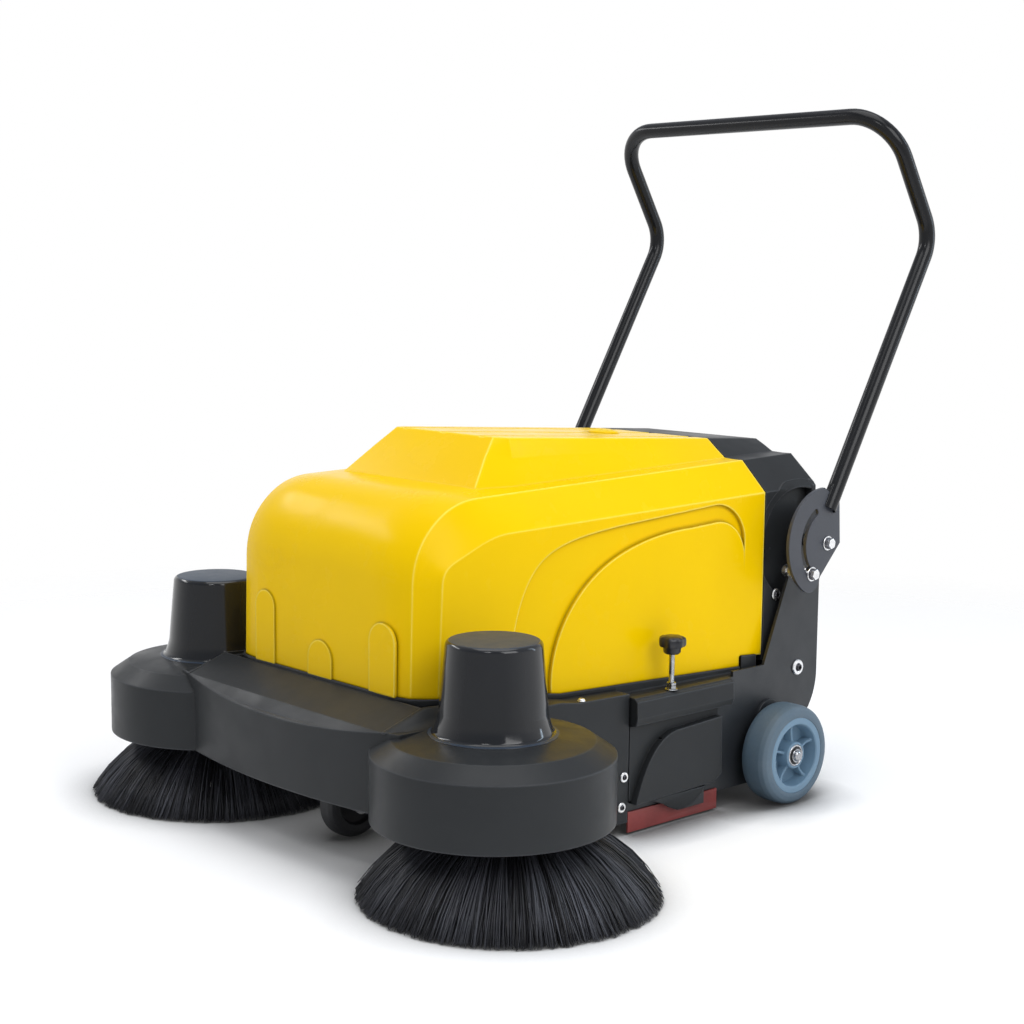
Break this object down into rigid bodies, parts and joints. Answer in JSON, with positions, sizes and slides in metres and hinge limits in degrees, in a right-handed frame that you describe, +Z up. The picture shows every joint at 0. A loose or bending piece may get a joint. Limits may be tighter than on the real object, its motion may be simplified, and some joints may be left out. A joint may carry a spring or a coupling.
{
  "type": "walk behind sweeper",
  "caption": "Battery walk-behind floor sweeper with two front side brushes, a cylindrical main brush, a lift-up hood, a slide-out rear hopper and a folding push handle.",
  "frame": {"origin": "on the floor, under the middle of the machine's footprint", "axes": "+Z up; -Y the way the machine travels, so the push handle is at +Y; +X the operator's left"},
  "size_m": [1.048, 1.1155, 1.041],
  "materials": {
    "hood_yellow": "glossy moulded plastic, deep yellow",
    "charcoal_plastic": "charcoal moulded plastic with a light grain",
    "handle_black": "glossy black powder coat",
    "plate_grey": "blue-grey powder coat",
    "frame_black": "satin black powder coat",
    "zinc_steel": "bright zinc plating",
    "turned_steel": "turned steel",
    "tread_grey": "grey-blue non-marking rubber",
    "rim_grey": "light blue-grey moulded nylon",
    "caster_grey": "grey polyurethane",
    "bristle_black": "black polypropylene filament",
    "brush_hub": "black moulded plastic",
    "flap_red": "dark red rubber sheet",
    "flap_black": "black rubber sheet",
    "belt_rubber": "black ribbed belt",
    "battery_case": "moulded battery case",
    "strap_web": "woven webbing",
    "motor_paint": "dark enamel",
    "controller_case": "die-cast, ribbed",
    "panel_black": "fine-grained panel",
    "meter_lens": "tinted lens",
    "switch_red": "red rocker",
    "switch_black": "black rocker",
    "key_chrome": "plated lock barrel and key"
  },
  "bodies": {
    "chassis": {"rear_housing": "charcoal_plastic", "front_deck": "charcoal_plastic", "motor_cover_left": "charcoal_plastic", "motor_cover_right": "charcoal_plastic", "side_cover_left": "charcoal_plastic", "side_cover_right": "charcoal_plastic", "hood_hinges": "zinc_steel", "side_brush_motors": "motor_paint", "side_plate_left": "frame_black", "side_plate_right": "frame_black", "axle_brackets": "frame_black", "platform": "frame_black", "skirt_brackets": "zinc_steel", "side_flaps": "flap_red", "cross_flaps": "flap_black", "flap_bars": "zinc_steel", "wheel_bolts": "zinc_steel", "caster_plate": "zinc_steel", "hopper_rails": "frame_black", "batteries": "battery_case", "battery_tray": "frame_black", "battery_strap": "strap_web", "controller_box": "controller_case", "switch_panel": "panel_black", "battery_meter": "meter_lens", "charge_socket": "panel_black", "handle_bolts": "zinc_steel", "cover_fasteners": "zinc_steel", "wheel_bearings": "turned_steel"},
    "handle": {"handle_tube": "handle_black", "handle_plates": "plate_grey"},
    "hood": {"hood": "hood_yellow"},
    "hopper": {"hopper": "charcoal_plastic", "hopper_handle": "charcoal_plastic"},
    "wheel_left": {"rim_left": "rim_grey", "tyre_left": "tread_grey"},
    "wheel_right": {"rim_right": "rim_grey", "tyre_right": "tread_grey"},
    "caster_swivel": {"caster_fork": "zinc_steel", "caster_axle": "zinc_steel"},
    "caster_roll": {"caster_wheel": "caster_grey"},
    "side_brush_left": {"side_brush_disc_left": "brush_hub", "side_brush_bristles_left": "bristle_black"},
    "side_brush_right": {"side_brush_disc_right": "brush_hub", "side_brush_bristles_right": "bristle_black"},
    "brush_carriage": {"brush_carriage": "frame_black", "main_motor": "motor_paint", "roller_bearings": "turned_steel", "drive_belt": "belt_rubber"},
    "main_brush": {"roller_core": "brush_hub", "roller_bristles": "bristle_black", "roller_pulley": "turned_steel"},
    "motor_pulley": {"motor_pulley": "turned_steel"},
    "height_adjuster_left": {"height_knob_left": "charcoal_plastic", "adjuster_rod_left": "zinc_steel"},
    "height_adjuster_right": {"height_knob_right": "charcoal_plastic", "adjuster_rod_right": "zinc_steel"},
    "main_brush_switch": {"main_brush_switch": "switch_red"},
    "side_brush_switch": {"side_brush_switch": "switch_black"},
    "key_switch": {"key_switch": "key_chrome"}
  },
  "joints": [
    {"name": "handle_fold", "type": "hinge", "parent": "chassis", "child": "handle", "pos_m": [0, 0.3152, 0.385], "axis": [-1, 0, 0], "range_deg": [-90, 0]},
    {"name": "hood_open", "type": "hinge", "parent": "chassis", "child": "hood", "pos_m": [0, -0.4068, 0.25], "axis": [1, 0, 0], "range_deg": [0, 75]},
    {"name": "hopper_slide", "type": "slide", "parent": "chassis", "child": "hopper", "axis": [0, 1, 0], "range_m": [0, 0.35]},
    {"name": "wheel_left_spin", "type": "hinge", "parent": "chassis", "child": "wheel_left", "pos_m": [0.288, 0.2302, 0.075], "axis": [1, 0, 0], "continuous": true},
    {"name": "wheel_right_spin", "type": "hinge", "parent": "chassis", "child": "wheel_right", "pos_m": [-0.288, 0.2302, 0.075], "axis": [1, 0, 0], "continuous": true},
    {"name": "caster_turn", "type": "hinge", "parent": "chassis", "child": "caster_swivel", "pos_m": [0, -0.3898, 0.12], "axis": [0, 0, 1], "continuous": true},
    {"name": "caster_spin", "type": "hinge", "parent": "caster_swivel", "child": "caster_roll", "pos_m": [0, -0.3618, 0.05], "axis": [1, 0, 0], "continuous": true},
    {"name": "side_brush_left_spin", "type": "hinge", "parent": "chassis", "child": "side_brush_left", "pos_m": [0.326, -0.3598, 0.1], "axis": [0, 0, 1], "continuous": true},
    {"name": "side_brush_right_spin", "type": "hinge", "parent": "chassis", "child": "side_brush_right", "pos_m": [-0.326, -0.3598, 0.1], "axis": [0, 0, 1], "continuous": true},
    {"name": "main_brush_height", "type": "slide", "parent": "chassis", "child": "brush_carriage", "axis": [0, 0, 1], "range_m": [-0.004, 0.008]},
    {"name": "main_brush_spin", "type": "hinge", "parent": "brush_carriage", "child": "main_brush", "pos_m": [0, 0.0122, 0.106], "axis": [1, 0, 0], "continuous": true},
    {"name": "motor_pulley_spin", "type": "hinge", "parent": "brush_carriage", "child": "motor_pulley", "pos_m": [-0.235, -0.1448, 0.16], "axis": [1, 0, 0], "continuous": true},
    {"name": "height_knob_left_turn", "type": "hinge", "parent": "chassis", "child": "height_adjuster_left", "pos_m": [0.259, 0.0092, 0.262], "axis": [0, 0, 1], "range_deg": [-1925, 965]},
    {"name": "height_knob_right_turn", "type": "hinge", "parent": "chassis", "child": "height_adjuster_right", "pos_m": [-0.259, 0.0092, 0.262], "axis": [0, 0, 1], "range_deg": [-1925, 965]},
    {"name": "main_brush_switch_tilt", "type": "hinge", "parent": "chassis", "child": "main_brush_switch", "pos_m": [-0.058, 0.3507, 0.43], "axis": [1, 0, 0], "range_deg": [-10, 10]},
    {"name": "side_brush_switch_tilt", "type": "hinge", "parent": "chassis", "child": "side_brush_switch", "pos_m": [0, 0.3507, 0.43], "axis": [1, 0, 0], "range_deg": [-10, 10]},
    {"name": "key_turn", "type": "hinge", "parent": "chassis", "child": "key_switch", "pos_m": [0.058, 0.3502, 0.43], "axis": [0, 1, 0], "range_deg": [0, 90]}
  ],
  "couplings": [
    {"joint": "motor_pulley_spin", "follows": "main_brush_spin", "ratio": 2},
    {"joint": "height_knob_left_turn", "follows": "main_brush_height", "rad_per_m": -4188.8},
    {"joint": "height_knob_right_turn", "follows": "main_brush_height", "rad_per_m": -4188.8}
  ]
}
